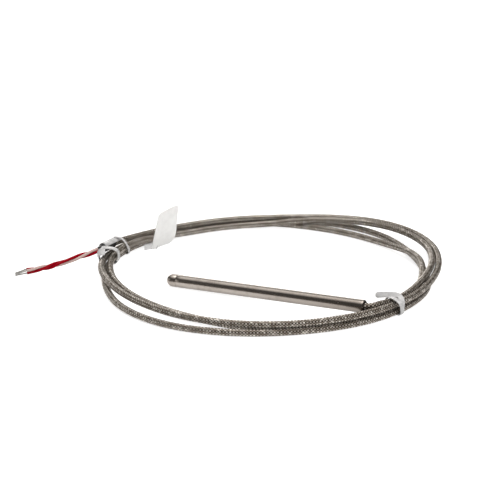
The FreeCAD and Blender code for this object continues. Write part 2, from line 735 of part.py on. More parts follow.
def make_tag():
    """Make the marker tag, which leans inwards beside the coil, and the tab that holds it to a strand."""
    sheet_part = padded("flag_tag_sheet", "XY_Plane", tag_outline(), "tag_thickness")
    foot = coil_frame("tag_at", "tag_radius", "0")
    lean = FreeCAD.Rotation(VECTOR(0, 1, 0), -size("tag_lean"))
    tilt = FreeCAD.Rotation(VECTOR(1, 0, 0), -size("tag_tilt"))
    stand = FreeCAD.Rotation(VECTOR(0, 1, 0), VECTOR(0, 0, 1), VECTOR(1, 0, 0), "ZXY")
    leaning = FreeCAD.Placement(VECTOR(0, 0, size("tag_lift")), lean.multiply(tilt))
    centred = FreeCAD.Placement(VECTOR(0, 0, size("tag_height / 2")), stand)
    sheet_part.Placement = foot.multiply(leaning).multiply(centred)

    tab = doc.addObject("Part::Box", "flag_tag_tab")
    tab.setExpression("Length", bound("tab_length"))
    tab.setExpression("Width", bound("tag_thickness"))
    tab.setExpression("Height", bound("tab_height"))
    turn = FreeCAD.Rotation(VECTOR(0, 0, 1), QUARTER - size("tab_turned"))
    start = VECTOR(-size("tag_thickness"), size("tab_along"), size("tab_lift"))
    tab.Placement = foot.multiply(FreeCAD.Placement(start, turn))
    keep(joined("flag_tag_whole", [sheet_part, tab]), "flag_tag")


def check_and_export():
    """Stop on any failed object or unsound solid, then write one STEP file for each node."""
    doc.recompute()
    failed = [item.Label for item in doc.Objects if any(fault in item.State for fault in FAULTS)]
    unsound = [piece.Label for piece in nodes if piece.Shape.isNull() or not piece.Shape.isValid()]
    if failed or unsound:
        raise ValueError(f"failed: {failed}, unsound: {unsound}")
    os.makedirs("parts", exist_ok=True)
    for piece in nodes:
        piece.Shape.exportStep(f"parts/{piece.Label}.step")
        print(f"{piece.Label}: {len(piece.Shape.Solids)} solid, {piece.Shape.Volume:.2f} mm3")


fill_sheet()
make_sheath()
make_element()
make_splices()
make_held_cable()
make_lead()
make_coil()
make_tail()
make_wires()
make_ties()
make_tag()
check_and_export()
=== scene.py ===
"""Dresses the sheathed resistance thermometer: satin probe, braided coil, ties, tag and wire ends."""

import logging
from dataclasses import dataclass, replace
from enum import Enum
from math import asin, cos, pi, radians, sin, sqrt, tau
from typing import Callable, Sequence, Union

import bmesh
import bpy
import numpy as np
from bmesh.types import BMesh
from bpy.types import ID, Curve, Material, Mesh, Node, NodeSocket, Object, World
from mathutils import Color, Matrix, Vector

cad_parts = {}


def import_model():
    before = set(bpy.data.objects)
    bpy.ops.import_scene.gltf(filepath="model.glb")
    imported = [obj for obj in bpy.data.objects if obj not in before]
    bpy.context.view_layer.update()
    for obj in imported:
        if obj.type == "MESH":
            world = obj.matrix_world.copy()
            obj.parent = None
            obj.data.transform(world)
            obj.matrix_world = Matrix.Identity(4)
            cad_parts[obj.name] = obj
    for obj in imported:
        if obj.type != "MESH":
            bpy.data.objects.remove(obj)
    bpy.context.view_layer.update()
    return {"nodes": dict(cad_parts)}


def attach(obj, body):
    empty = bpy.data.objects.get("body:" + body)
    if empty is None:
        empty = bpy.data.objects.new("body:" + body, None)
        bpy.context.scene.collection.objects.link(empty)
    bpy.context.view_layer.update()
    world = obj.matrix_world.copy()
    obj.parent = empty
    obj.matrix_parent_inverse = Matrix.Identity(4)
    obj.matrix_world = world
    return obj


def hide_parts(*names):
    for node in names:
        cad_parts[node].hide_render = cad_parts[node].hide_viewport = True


LOG = logging.getLogger("thermometer")
BODY = "root"
MM = 0.001
UP = (0.0, 0.0, 1.0)
PHOTO_SIDE = 500
COIL_MIDDLE = (-12.0, 33.2)
COIL_ZERO = 26.4
FINE_DETAIL = 2.0
LATHE_SIDES = 96

Colour = tuple[float, float, float, float]
Pair = tuple[float, float]
Point = tuple[float, float, float]
Value = Union["Sock", float, Sequence[float]]
Sockets = dict[Union[int, str], Value]


class Slot(Enum):
    """The record's material slots."""

    STEEL = "sheath_steel"
    CEMENT = "cement"
    CERAMIC = "element_ceramic"
    LEAD = "lead_metal"
    GLASS_BRAID = "glass_braid"
    CRIMP = "crimp_metal"
    SPLICE = "splice_film"
    RED = "wire_red"
    WHITE = "wire_white"
    POTTING = "potting"
    BRAID = "steel_braid"
    SHRINK = "shrink_black"
    STRANDS = "tinned_strands"
    TIE = "tie_strip"
    TAG = "tag_film"


def srgb(red: float, green: float, blue: float) -> Colour:
    """Return the linear colour that a screen shows as red, green and blue of 0 to 255."""
    return (*Color((red / 255, green / 255, blue / 255)).from_srgb_to_scene_linear(), 1.0)


def shader_math(operation: str, swapped: bool = False) -> Callable[..., "Sock"]:
    """Make a method that adds one Math node.

    Args:
        operation: the node's operation.
        swapped: whether the method's own value comes second.

    Returns:
        The method.
    """

    def method(self: "Sock", other: Value = 0.0) -> "Sock":
        """Add the Math node."""
        first, second = (other, self) if swapped else (self, other)
        return self.graph.node("ShaderNodeMath", {"operation": operation}, {0: first, 1: second})

    return method


class Sock:
    """A shader value: arithmetic on it adds Math nodes to its graph."""

    __add__ = shader_math("ADD")
    __radd__ = shader_math("ADD", swapped=True)
    __sub__ = shader_math("SUBTRACT")
    __rsub__ = shader_math("SUBTRACT", swapped=True)
    __mul__ = shader_math("MULTIPLY")
    __rmul__ = shader_math("MULTIPLY", swapped=True)
    floor = shader_math("FLOOR")
    fract = shader_math("FRACT")
    sine = shader_math("SINE")

    def __init__(self, graph: "Graph", socket: NodeSocket) -> None:
        """Keep the graph and the output socket that this value stands for."""
        self.graph = graph
        self.socket = socket

    def step(self, low: float, high: float) -> "Sock":
        """Return 0 below low, 1 above high and a smooth rise between them."""
        settings = {"interpolation_type": "SMOOTHSTEP"}
        return self.graph.node("ShaderNodeMapRange", settings, {0: self, 1: low, 2: high})


class Graph:
    """A procedural material or room under construction."""

    def __init__(self, owner: Union[Material, World], shader: str) -> None:
        """Start a node tree.

        Args:
            owner: the material or world that gets the tree.
            shader: the name of its main shader.
        """
        owner.use_nodes = True
        self.owner = owner
        self.tree = owner.node_tree
        self.shader = self.tree.nodes[shader]

    @classmethod
    def material(cls, name: str) -> "Graph":
        """Start a material of the given name."""
        return cls(bpy.data.materials.new(name), "Principled BSDF")

    def fill(self, node: Node, sockets: Sockets) -> None:
        """Set or link a node's input sockets.

        Args:
            node: the node.
            sockets: values or links by socket name or number.
        """
        for key, value in sockets.items():
            if isinstance(value, Sock):
                self.tree.links.new(value.socket, node.inputs[key])
            else:
                node.inputs[key].default_value = value

    def node(self, kind: str, settings: dict[str, str], sockets: Sockets,
             output: Union[int, str] = 0) -> Sock:
        """Add a node.

        Args:
            kind: the node's type.
            settings: its properties.
            sockets: values or links of its input sockets.
            output: which output the value stands for.

        Returns:
            The chosen output.
        """
        made = self.tree.nodes.new(kind)
        for key, value in settings.items():
            setattr(made, key, value)
        self.fill(made, sockets)
        return Sock(self, made.outputs[output])

    def place(self, scale: Point = (1.0, 1.0, 1.0)) -> Sock:
        """Return Object coordinates times a scale."""
        source = self.node("ShaderNodeTexCoord", {}, {}, "Object")
        return self.node("ShaderNodeMapping", {}, {"Vector": source, "Scale": scale})

    def axis(self, vector: Sock, number: int) -> Sock:
        """Return one of a vector's three values."""
        return self.node("ShaderNodeSeparateXYZ", {}, {0: vector}, number)

    def noise(self, vector: Sock, scale: float, detail: float = 3.0) -> Sock:
        """Return soft noise between 0 and 1."""
        return self.node("ShaderNodeTexNoise", {}, {"Vector": vector, "Scale": scale, "Detail": detail})

    def mix(self, factor: Value, first: Value, second: Value) -> Sock:
        """Return a blend of two colours."""
        return self.node("ShaderNodeMix", {"data_type": "RGBA"}, {0: factor, 6: first, 7: second}, 2)

    def bump(self, height: Sock, strength: float, distance: float) -> Sock:
        """Return a normal from a height."""
        sockets = {"Height": height, "Strength": strength, "Distance": distance}
        return self.node("ShaderNodeBump", {}, sockets)

    def finish(self, sockets: Sockets) -> ID:
        """Set the main shader's sockets and return the finished owner."""
        self.fill(self.shader, sockets)
        return self.owner


@dataclass(frozen=True)
class SatinSteel:
    """Drawn and lightly polished stainless tube, with painted shade towards the rear and on the rolled lip.
    """

    tone: Colour = srgb(186, 178, 171)
    # Painted shade: the tube's tone darkens towards its rear end.
    rear_shade: Colour = srgb(158, 150, 143)
    streak: Colour = srgb(150, 141, 134)
    # Painted shade on the rolled rear lip, where the open mouth falls into shadow.
    tint: Colour = srgb(72, 62, 54)
    rear_shade_run: Pair = (-0.04, 0.055)
    lip_shade_run: Pair = (0.0495, 0.0499)
    roughness: float = 0.22
    line_scale: Point = (60.0, 2600.0, 2600.0)
    line_share: float = 0.25
    line_rough: float = 0.08
    line_dents: Pair = (0.03, 0.00002)
    smudge_scale: float = 220.0
    smudge_edge: Pair = (0.42, 0.72)
    smudge_share: float = 0.5
    dull_edge: Pair = (0.45, 0.75)
    dull_rough: float = 0.05

    def make(self, name: str) -> Material:
        """Make the steel with drawn lines along the tube and smudges.

        Args:
            name: the material's name.

        Returns:
            The material.
        """
        graph = Graph.material(name)
        lines = graph.noise(graph.place(self.line_scale), 1.0, FINE_DETAIL)
        smudge = graph.noise(graph.place(), self.smudge_scale)
        along = graph.axis(graph.place(), 0)
        # Painted shade: the base tone darkens along the tube towards the rear.
        bare = graph.mix(along.step(*self.rear_shade_run), self.tone, self.rear_shade)
        marked = smudge.step(*self.smudge_edge) * self.smudge_share + lines * self.line_share
        # Drawn lines and smudges over the tone with its painted shade.
        shaded_marked = graph.mix(marked, bare, self.streak)
        uneven = (lines - 0.5) * self.line_rough + smudge.step(*self.dull_edge) * self.dull_rough
        return graph.finish({
            # Painted shade: the rolled rear lip darkens sharply.
            "Base Color": graph.mix(along.step(*self.lip_shade_run), shaded_marked, self.tint),
            "Metallic": 1.0,
            "Roughness": self.roughness + uneven,
            "Normal": graph.bump(lines, *self.line_dents),
        })


@dataclass(frozen=True)
class BraidedSteel:
    """Braid of flat groups of fine bright wires; its own UV map counts the groups both ways."""

    # Colour of the painted highlights on the crossings, also the lighter end of the patches of wear and
    # painted sheen.
    light: Colour = srgb(255, 248, 238)
    plain: Colour = srgb(128, 115, 102)
    # Painted shade in the valleys between the braid's groups and fine wires.
    valley_shade: Colour = srgb(20, 14, 10)
    wires: float = 5.0
    # Share of the painted highlight left on crossings turned away from the light.
    turned_away: float = 0.15
    # Patches partly of rubbing wear and partly of painted sheen: noise scale, edge and how far they lighten
    # the tone.
    rub_and_sheen_scale: float = 560.0
    rub_and_sheen_edge: Pair = (0.48, 0.6)
    rub_and_sheen_share: float = 0.25
    # Strength of the painted highlights: least, by glint and by the patches of wear and sheen.
    least_shine: float = 0.3
    glint_shine: float = 0.3
    rub_shine: float = 0.35
    # Painted glints on a few random crossings.
    spark_rise: Pair = (0.05, 0.4)
    spark_edge: Pair = (0.88, 0.96)
    spark_share: float = 0.5
    # Where on each crossing the painted highlight sits.
    crest_highlight_rise: Pair = (0.2, 0.7)
    group_rise: Pair = (0.02, 0.5)
    ridge_share: float = 0.2
    metallic: float = 0.8
    roughness: float = 0.45
    crest_polish: float = 0.2
    pillow_height: float = 0.6
    ridge_height: float = 0.25
    dents: Pair = (0.6, 0.00012)

    def make(self, name: str, uv_map: str) -> Material:
        """Make the braid: painted shade between its groups, painted highlights where one hand of crossings
        catches the light.

        Args:
            name: the material's name.
            uv_map: the UV map that holds the braid's lengthwise and round counts.

        Returns:
            The material.
        """
        graph = Graph.material(name)
        count = graph.node("ShaderNodeUVMap", {"uv_map": uv_map}, {})
        along = graph.axis(count, 0)
        round_count = graph.axis(count, 1)
        right = along + round_count
        left = along - round_count
        over = ((right.floor() + left.floor()) * 0.5).fract() * 2.0
        across_group = right.fract() * over + left.fract() * (1.0 - over)
        pillow = (right.fract() * pi).sine() * (left.fract() * pi).sine()
        ridge = (across_group * (tau * self.wires)).sine() * 0.5 + 0.5
        cell = graph.node("ShaderNodeCombineXYZ", {}, {0: right.floor(), 1: left.floor()})
        glint = graph.node("ShaderNodeTexWhiteNoise", {"noise_dimensions": "2D"}, {"Vector": cell})
        # Painted highlight: crossings of one hand catch most of it.
        caught_light = self.turned_away + (1.0 - self.turned_away) * over
        # Patches partly of rubbing wear and partly of painted sheen.
        rub_and_sheen = graph.noise(graph.place(), self.rub_and_sheen_scale, FINE_DETAIL).step(*self.rub_and_sheen_edge)
        shine = self.least_shine + self.glint_shine * glint + self.rub_shine * rub_and_sheen
        # Painted glints on a few random crossings.
        spark = pillow.step(*self.spark_rise) * glint.step(*self.spark_edge)
        # Painted highlights on the crossings, mixed into the base colour.
        crest_highlight = pillow.step(*self.crest_highlight_rise) * shine * caught_light + spark * self.spark_share
        # Base tone, lightened in the patches of wear and painted sheen.
        bare = graph.mix(rub_and_sheen * self.rub_and_sheen_share, self.plain, self.light)
        # Painted shade: the tone falls off into the valleys between groups and between fine wires.
        lit = pillow.step(*self.group_rise) * (1.0 - self.ridge_share + self.ridge_share * ridge)
        return graph.finish({
            # Painted highlights over the tone with its painted shade.
            "Base Color": graph.mix(crest_highlight, graph.mix(lit, self.valley_shade, bare), self.light),
            "Metallic": self.metallic,
            "Roughness": self.roughness - self.crest_polish * crest_highlight,
            "Normal": graph.bump(pillow * self.pillow_height + ridge * self.ridge_height, *self.dents),
        })


@dataclass(frozen=True)
class Skin:
    """A plain matter or film: broad marks tint it, and a fine grain roughens and dents it."""

    colour: Colour
    worn: Colour
    roughness: float = 0.34
    metallic: float = 0.0
    shine: float = 0.5
    mark_scale: float = 900.0
    mark_edge: Pair = (0.5, 0.8)
    mark_share: float = 1.0
    mark_height: float = 0.0
    grain_scale: float = 5200.0
    grain_stretch: Point = (1.0, 1.0, 1.0)
    grain_rough: float = 0.2
    dents: Pair = (0.12, 0.00003)
    soak: float = 0.0
    soak_depth: float = 0.002
    alpha: float = 1.0
    cloud: float = 0.0

    def make(self, name: str) -> Material:
        """Make the matter; without a grain of its own, its marks roughen and dent it too.

        Args:
            name: the material's name.

        Returns:
            The material.
        """
        graph = Graph.material(name)
        marks = graph.noise(graph.place(), self.mark_scale)
        grain = marks
        if self.grain_scale:
            grain = graph.noise(graph.place(self.grain_stretch), self.grain_scale, FINE_DETAIL)
        height = marks * self.mark_height + grain * (1.0 - self.mark_height)
        sockets = {
            "Base Color": graph.mix(marks.step(*self.mark_edge) * self.mark_share, self.colour, self.worn),
            "Metallic": self.metallic,
            "Roughness": self.roughness + (grain - 0.5) * self.grain_rough,
            "Specular IOR Level": self.shine,
            "Normal": graph.bump(height, *self.dents),
            "Subsurface Weight": self.soak,
            "Subsurface Radius": (1.0, 1.0, 1.0),
            "Subsurface Scale": self.soak_depth,
        }
        if self.cloud:
            sockets["Alpha"] = self.alpha + (marks - 0.5) * self.cloud
        return graph.finish(sockets)


def insulation(colour: Colour, worn: Colour) -> Skin:
    """Return the waxy insulation of a single wire, with faint handling marks."""
    return Skin(colour, worn, shine=0.08, mark_share=0.6, grain_rough=0.16)


def grainy(colour: Colour, fleck: Colour, roughness: float, metallic: float = 0.0,
           scale: float = 1800.0) -> Skin:
    """Return a matter with one grain: cement, ceramic, potting, woven sleeves and small metal pieces."""
    return Skin(colour, fleck, roughness, metallic, mark_scale=scale, mark_edge=(0.4, 0.7), grain_scale=0.0,
                dents=(0.2, 0.00005))


# Black shrunk sleeve with the braid telegraphing through it.
BLACK_SHRINK = Skin(srgb(26, 25, 26), srgb(58, 56, 56), 0.42, mark_scale=700.0, mark_edge=(0.5, 0.85),
                    grain_scale=2600.0, dents=(0.25, 0.00008))
# Milky see-through strip, cloudier where it was creased.
MILKY_STRIP = Skin(srgb(204, 203, 203), srgb(178, 177, 177), 0.24, mark_scale=420.0, mark_edge=(0.35, 0.7),
                   grain_scale=1500.0, grain_stretch=(1.0, 1.0, 0.3), dents=(0.5, 0.0002), alpha=0.88,
                   cloud=0.4)
# White printable film, folded on itself and left bare, with a mottle of glue between its leaves.
TAG_FILM = Skin(srgb(247, 246, 244), srgb(234, 233, 231), 0.4, mark_scale=260.0, mark_edge=(0.4, 0.75),
                mark_share=0.6, mark_height=0.8, grain_scale=3800.0, grain_rough=0.14, dents=(0.1, 0.0001),
                soak=0.8)


def mm(point: Sequence[float]) -> Vector:
    """Return a point given in millimetres as metres."""
    return Vector(point) * MM


def on_coil(turn: float, radius: float, height: float) -> Vector:
    """Return a coil point in metres from its angle in degrees and its radius and height in millimetres."""
    angle = radians(turn + COIL_ZERO)
    return mm((COIL_MIDDLE[0] + radius * cos(angle), COIL_MIDDLE[1] + radius * sin(angle), height))


def unit(vector: np.ndarray) -> np.ndarray:
    """Return a vector of length one."""
    return vector / np.linalg.norm(vector)


def runs_along(line: np.ndarray) -> np.ndarray:
    """Return each point's distance from a line's start."""
    return np.concatenate(([0.0], np.cumsum(np.linalg.norm(np.diff(line, axis=0), axis=1))))


def headings(line: np.ndarray) -> list[np.ndarray]:
    """Return the direction of a line at each of its points."""
    ends = zip(np.concatenate((line[1:], line[-1:])), np.concatenate((line[:1], line[:-1])))
    return [unit(ahead - behind) for ahead, behind in ends]


def across(heading: np.ndarray, angle: float) -> np.ndarray:
    """Return the direction at right angles to a heading, turned up by an angle from its level side."""
    side = unit(np.cross(heading, UP))
    return side * cos(angle) + np.cross(side, heading) * sin(angle)


def spaced(line: np.ndarray, steps: int, reach: float = -1.0) -> np.ndarray:
    """Read evenly spaced points from a line or from its last part.

    Args:
        line: the whole line.
        steps: how many parts it is read in.
        reach: how far from the line's end the part starts, in metres; below 0 for the whole line.

    Returns:
        The points, one a row, the line's end last.
    """
    runs = runs_along(line)
    start = 0.0 if reach < 0.0 else runs[-1] - reach
    wanted = np.linspace(start, runs[-1], steps + 1)
    return np.stack([np.interp(wanted, runs, line[:, number]) for number in range(3)], axis=1)


def past_end(line: np.ndarray, held: float, free: float, steps: int) -> np.ndarray:
    """Read the last part of a line and run straight on past its end.

    Args:
        line: the whole line.
        held: how far before the line's end the part starts, in metres.
        free: how far it runs on, in metres.
        steps: how many parts each of the two stretches is read in.

    Returns:
        The points, one a row.
    """
    before = spaced(line, steps, held)
    ahead = unit(before[-1] - before[-2]) * free / steps
    return np.concatenate((before, [before[-1] + ahead * step for step in range(1, steps + 1)]))


def nurbs(name: str, points: Sequence[Vector], radius: float = 0.0) -> Curve:
    """Make a smooth open cord with the given control points.

    Args:
        name: the curve's name.
        points: control points in metres.
        radius: of the round cord, or 0 for a bare line.

    Returns:
        The curve.
    """
    curve = bpy.data.curves.new(name, "CURVE")
    curve.dimensions = "3D"
    curve.resolution_u = 12
    curve.bevel_depth = radius
    curve.bevel_resolution = 5
    curve.use_fill_caps = True
    spline = curve.splines.new("NURBS")
    spline.points.add(len(points) - 1)
    for item, point in zip(spline.points, points):
        item.co = (*point, 1.0)
    spline.order_u = 3
    spline.use_endpoint_u = True
    return curve


def curve_bmesh(curve: Curve) -> BMesh:
    """Turn a curve into a bmesh.

    Args:
        curve: the curve, which is removed.

    Returns:
        The bmesh.
    """
    holder = bpy.data.objects.new(curve.name, curve)
    mesh = bpy.data.meshes.new_from_object(holder)
    bm = bmesh.new()
    bm.from_mesh(mesh)
    bpy.data.meshes.remove(mesh)
    bpy.data.objects.remove(holder)
    bpy.data.curves.remove(curve)
    return bm


def read_line(points: Sequence[Vector], spacing: float) -> np.ndarray:
    """Read evenly spaced points from the smooth line through a route.

    Args:
        points: the route's control points in metres.
        spacing: wanted distance between points in metres.

    Returns:
        The points, one a row.
    """
    bm = curve_bmesh(nurbs("route", points))
    raw = np.array([vertex.co for vertex in bm.verts])
    bm.free()
    return spaced(raw, max(2, round(runs_along(raw)[-1] / spacing)))


def sweep(line: np.ndarray, radii: Sequence[float], sides: int) -> BMesh:
    """Make a round tube along a line.

    Args:
        line: the points that it follows.
        radii: its radius at each point.
        sides: corners of each ring.

    Returns:
        The tube, ring after ring, with closed ends.
    """
    curve = bpy.data.curves.new("tube", "CURVE")
    curve.dimensions = "3D"
    curve.bevel_depth = 1.0
    curve.bevel_resolution = (sides - 4) // 2
    spline = curve.splines.new("POLY")
    spline.points.add(len(line) - 1)
    for item, point, radius in zip(spline.points, line, radii):
        item.co = (*point, 1.0)
        item.radius = radius
    bm = curve_bmesh(curve)
    bmesh.ops.holes_fill(bm, edges=[edge for edge in bm.edges if edge.is_boundary], sides=sides)
    return bm


def as_mesh(name: str, bm: BMesh) -> Mesh:
    """Put a bmesh into a new mesh and free it.

    Args:
        name: the mesh's name.
        bm: the bmesh.

    Returns:
        The mesh.
    """
    mesh = bpy.data.meshes.new(name)
    bm.to_mesh(mesh)
    bm.free()
    return mesh


def join(name: str, parts: Sequence[BMesh]) -> Mesh:
    """Put several bmeshes into one mesh and free them.

    Args:
        name: the mesh's name.
        parts: the bmeshes.

    Returns:
        The mesh.
    """
    whole = bmesh.new()
    for part in parts:
        held = as_mesh(name, part)
        whole.from_mesh(held)
        bpy.data.meshes.remove(held)
    return as_mesh(name, whole)


def sheet(rows: Sequence[Sequence[Vector]], thickness: float) -> BMesh:
    """Make a thin closed sheet through rows of points.

    Args:
        rows: points in metres, equally many in each row.
        thickness: in metres.

    Returns:
        The sheet as a closed bmesh.
    """
    bm = bmesh.new()
    steps = (len(rows) - 1, len(rows[0]) - 1)
    bmesh.ops.create_grid(bm, x_segments=steps[0], y_segments=steps[1], size=0.5)
    for vertex in bm.verts:
        row, column = (round((vertex.co[number] + 0.5) * steps[number]) for number in (0, 1))
        vertex.co = rows[row][column]
    bmesh.ops.solidify(bm, geom=bm.faces[:], thickness=thickness)
    bmesh.ops.recalc_face_normals(bm, faces=bm.faces)
    return bm


def arc(centre: Pair, radius: float, start: float, stop: float, steps: int) -> list[Pair]:
    """Return places along and from a turned profile's axis on an arc, its angles in degrees."""
    angles = np.radians(np.linspace(start, stop, steps + 1))
    return [(centre[0] + radius * cos(angle), centre[1] + radius * sin(angle)) for angle in angles]


def lathe(name: str, profile: Sequence[Pair], place: Matrix) -> Mesh:
    """Turn a profile about its X axis, joined to its own start if it ends away from the axis.

    Args:
        name: the mesh's name.
        profile: places along and from the axis, in millimetres.
        place: where the profile's origin goes, in metres.

    Returns:
        The closed mesh.
    """
    bm = bmesh.new()
    corners = [bm.verts.new((along * MM, 0.0, radius * MM)) for along, radius in profile]
    pairs = list(zip(corners, corners[1:]))
    if profile[-1][1] > 0.0:
        pairs.append((corners[-1], corners[0]))
    edges = [bm.edges.new(pair) for pair in pairs]
    bmesh.ops.spin(bm, geom=corners + edges, cent=(0, 0, 0), axis=(1, 0, 0), angle=tau,
                   steps=LATHE_SIDES, use_merge=True)
    bmesh.ops.remove_doubles(bm, verts=bm.verts, dist=1e-7)
    bmesh.ops.recalc_face_normals(bm, faces=bm.faces)
    bmesh.ops.transform(bm, matrix=place, verts=bm.verts)
    return as_mesh(name, bm)


def show(data: ID) -> Object:
    """Put an object in the scene.

    Args:
        data: what it shows, which also names it.

    Returns:
        The object.
    """
    shown = bpy.data.objects.new(data.name, data)
    bpy.context.scene.collection.objects.link(shown)
    return shown


def add_piece(data: Union[Mesh, Curve], material: Material,
              nodes: Sequence[str] = ()) -> Object:
    """Put a finished piece in the scene, dress it and let it ride on the body.

    Args:
        data: the piece's mesh or curve, which also names it.
        material: its finish.
        nodes: CAD nodes that it stands for.

    Returns:
        The piece's object.
    """
    data.materials.append(material)
    if isinstance(data, Mesh):
        data.shade_smooth()
    piece = show(data)
    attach(piece, BODY)
    if nodes:
        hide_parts(*nodes)
    LOG.info("%s made", piece.name)
    return piece


def soften(piece: Object, width: float) -> Object:
    """Round a thin piece's edges.

    Args:
        piece: the piece.
        width: of the rounding, in millimetres.

    Returns:
        The piece.
    """
    rounded = piece.modifiers.new("soft_edges", "BEVEL")
    rounded.width = width * MM
    rounded.segments = 2
    return piece


@dataclass
class Probe:
    """The steel sheath: a welded round tip and a tube with a rolled rear edge, in millimetres."""

    radius: float = 3.0
    wall: float = 0.5
    length: float = 100.0
    rear_lift: float = 3.0
    cap_length: float = 5.5
    cap_floor: float = 2.0
    spigot_length: float = 3.0
    spigot_wall: float = 0.6
    gap: float = 0.02
    mouth: float = 1.9
    seam_depth: float = 0.1
    seam_width: float = 0.24
    tip_steps: int = 24
    tube_steps: int = 40
    outer_steps: int = 10
    inner_steps: int = 8

    @property
    def reach(self) -> float:
        """Return the length from the tip's centre to the rear end."""
        return self.length - self.radius

    @property
    def seam(self) -> float:
        """Return how far behind the tip's centre the cap meets the tube."""
        return self.cap_length - self.radius

    def place(self) -> Matrix:
        """Find the probe's frame: origin at the round tip's centre, X to the rear.

        Returns:
            The frame in metres.
        """
        tilt = asin(self.rear_lift / self.reach)
        start = Matrix.Translation(mm((self.radius - self.length / 2, 0.0, self.radius)))
        return start @ Matrix.Rotation(-tilt, 4, "Y")

    def axis_point(self, along: float) -> Vector:
        """Return a point of the axis in metres, from a distance behind the tip's centre."""
        return self.place() @ mm((along, 0.0, 0.0))

    def cap_profile(self) -> list[Pair]:
        """Draw the turned profile of the round tip with its spigot.

        Returns:
            Places along and from the axis.
        """
        spigot = self.radius - self.wall - self.gap
        bore = spigot - self.spigot_wall
        floor = self.cap_floor - self.radius
        return arc((0.0, 0.0), self.radius, 180.0, 90.0, self.tip_steps) + [
            (self.seam - self.seam_width, self.radius),
            (self.seam, self.radius - self.seam_depth),
            (self.seam, spigot),
            (self.seam + self.spigot_length, spigot),
            (self.seam + self.spigot_length, bore),
            (floor, bore),
            (floor, 0.0),
        ]

    def tube_profile(self) -> list[Pair]:
        """Draw the turned profile of the tube with its rolled rear edge.

        Returns:
            Places along and from the axis.
        """
        roll = self.radius - self.mouth
        front = self.seam + self.seam_width
        rear = self.reach - roll
        start = [(self.seam, self.radius - self.wall), (self.seam, self.radius - self.seam_depth)]
        straight = [(front + (rear - front) * step / self.tube_steps, self.radius)
                    for step in range(self.tube_steps)]
        outer = arc((rear, self.mouth), roll, 90.0, 0.0, self.outer_steps)
        inner = arc((rear, self.mouth), roll - self.wall, 0.0, 90.0, self.inner_steps)
        return start + straight + outer + inner

    def build(self) -> None:
        """Turn both pieces and dress them."""
        steel = SatinSteel().make("satin_steel")
        cap = lathe("round_tip", self.cap_profile(), self.place())
        tube = lathe("probe_tube", self.tube_profile(), self.place())
        add_piece(cap, steel, ["tip_cap"])
        add_piece(tube, steel, ["sheath_tube"])


# The cable's stations on the coil: winding angle in degrees, radius and height in millimetres.
# First turn: from the probe over the tie, up over the next turn, across the back and round the left inside.
FIRST_TURN = (
    (-41, 72.2, 5.3), (-30, 72.0, 5.9), (-18, 72.2, 6.6), (-6, 73.7, 6.7), (4, 75.4, 6.3),
    (20, 79.6, 5.7), (42, 81.8, 5.8), (60, 78.6, 5.6), (76, 71.9, 5.2), (90, 72.3, 2.6),
    (104, 73.8, 1.8), (122, 73.4, 1.8), (134, 73.9, 2.6), (144, 75.6, 4.0), (153, 77.0, 4.9),
    (162, 77.4, 4.8), (172, 77.8, 4.7), (179, 77.2, 4.0), (186, 75.4, 2.6), (193, 73.7, 1.9),
    (202, 71.6, 1.9), (214, 70.5, 2.2), (238, 70.0, 2.3), (262, 72.4, 1.8), (300, 72.4, 1.9),
)
# Second turn: on the floor, up over the third one at the right and outermost at the left front.
SECOND_TURN = (
    (325, 70.8, 1.8), (340, 70.2, 2.3), (349, 70.2, 4.0), (357, 70.3, 5.1), (366, 70.4, 5.3),
    (376, 70.0, 4.8), (385, 69.6, 3.6), (394, 69.3, 2.2), (404, 69.3, 1.8), (420, 70.4, 1.8),
    (436, 72.4, 1.8), (450, 75.7, 1.8), (464, 77.4, 1.8), (490, 77.4, 1.8), (510, 78.2, 1.8),
    (528, 79.3, 1.8), (543, 78.7, 1.8), (556, 79.3, 1.8), (575, 82.2, 1.8), (592, 82.8, 1.8),
    (612, 80.6, 1.8), (634, 77.4, 1.8), (678, 75.4, 1.8),
)
# Third turn: under the second one at the right, outside it at the back, up at the left and on top in front.
THIRD_TURN = (
    (688, 74.8, 1.8), (695, 74.8, 1.8), (702, 74.4, 1.8), (709, 73.4, 1.8), (717, 71.9, 1.8),
    (726, 71.2, 1.8), (736, 71.9, 1.8), (745, 72.9, 1.8), (754, 74.6, 1.8), (770, 79.0, 1.8),
    (790, 81.0, 1.8), (840, 81.1, 1.8), (868, 82.5, 1.8), (880, 82.4, 2.9), (890, 81.2, 4.3),
    (897, 81.0, 5.0), (904, 80.5, 5.2), (911, 79.2, 5.2), (918, 78.3, 5.2), (930, 77.5, 5.2),
    (946, 77.0, 5.1), (978, 77.2, 5.0), (1005, 75.8, 5.0), (1035, 75.6, 5.4),
)
# Last turn: bulging out at the right back, then on top to the left tie.
LAST_TURN = (
    (1058, 75.3, 5.3), (1080, 77.8, 5.3), (1104, 83.7, 5.4), (1122, 86.2, 5.5), (1140, 83.5, 5.4),
    (1157, 77.4, 5.1), (1172, 75.2, 4.9), (1197, 75.6, 4.8), (1215, 77.4, 5.0), (1232, 80.6, 6.0),
)
STATIONS = np.array(FIRST_TURN + SECOND_TURN + THIRD_TURN + LAST_TURN)


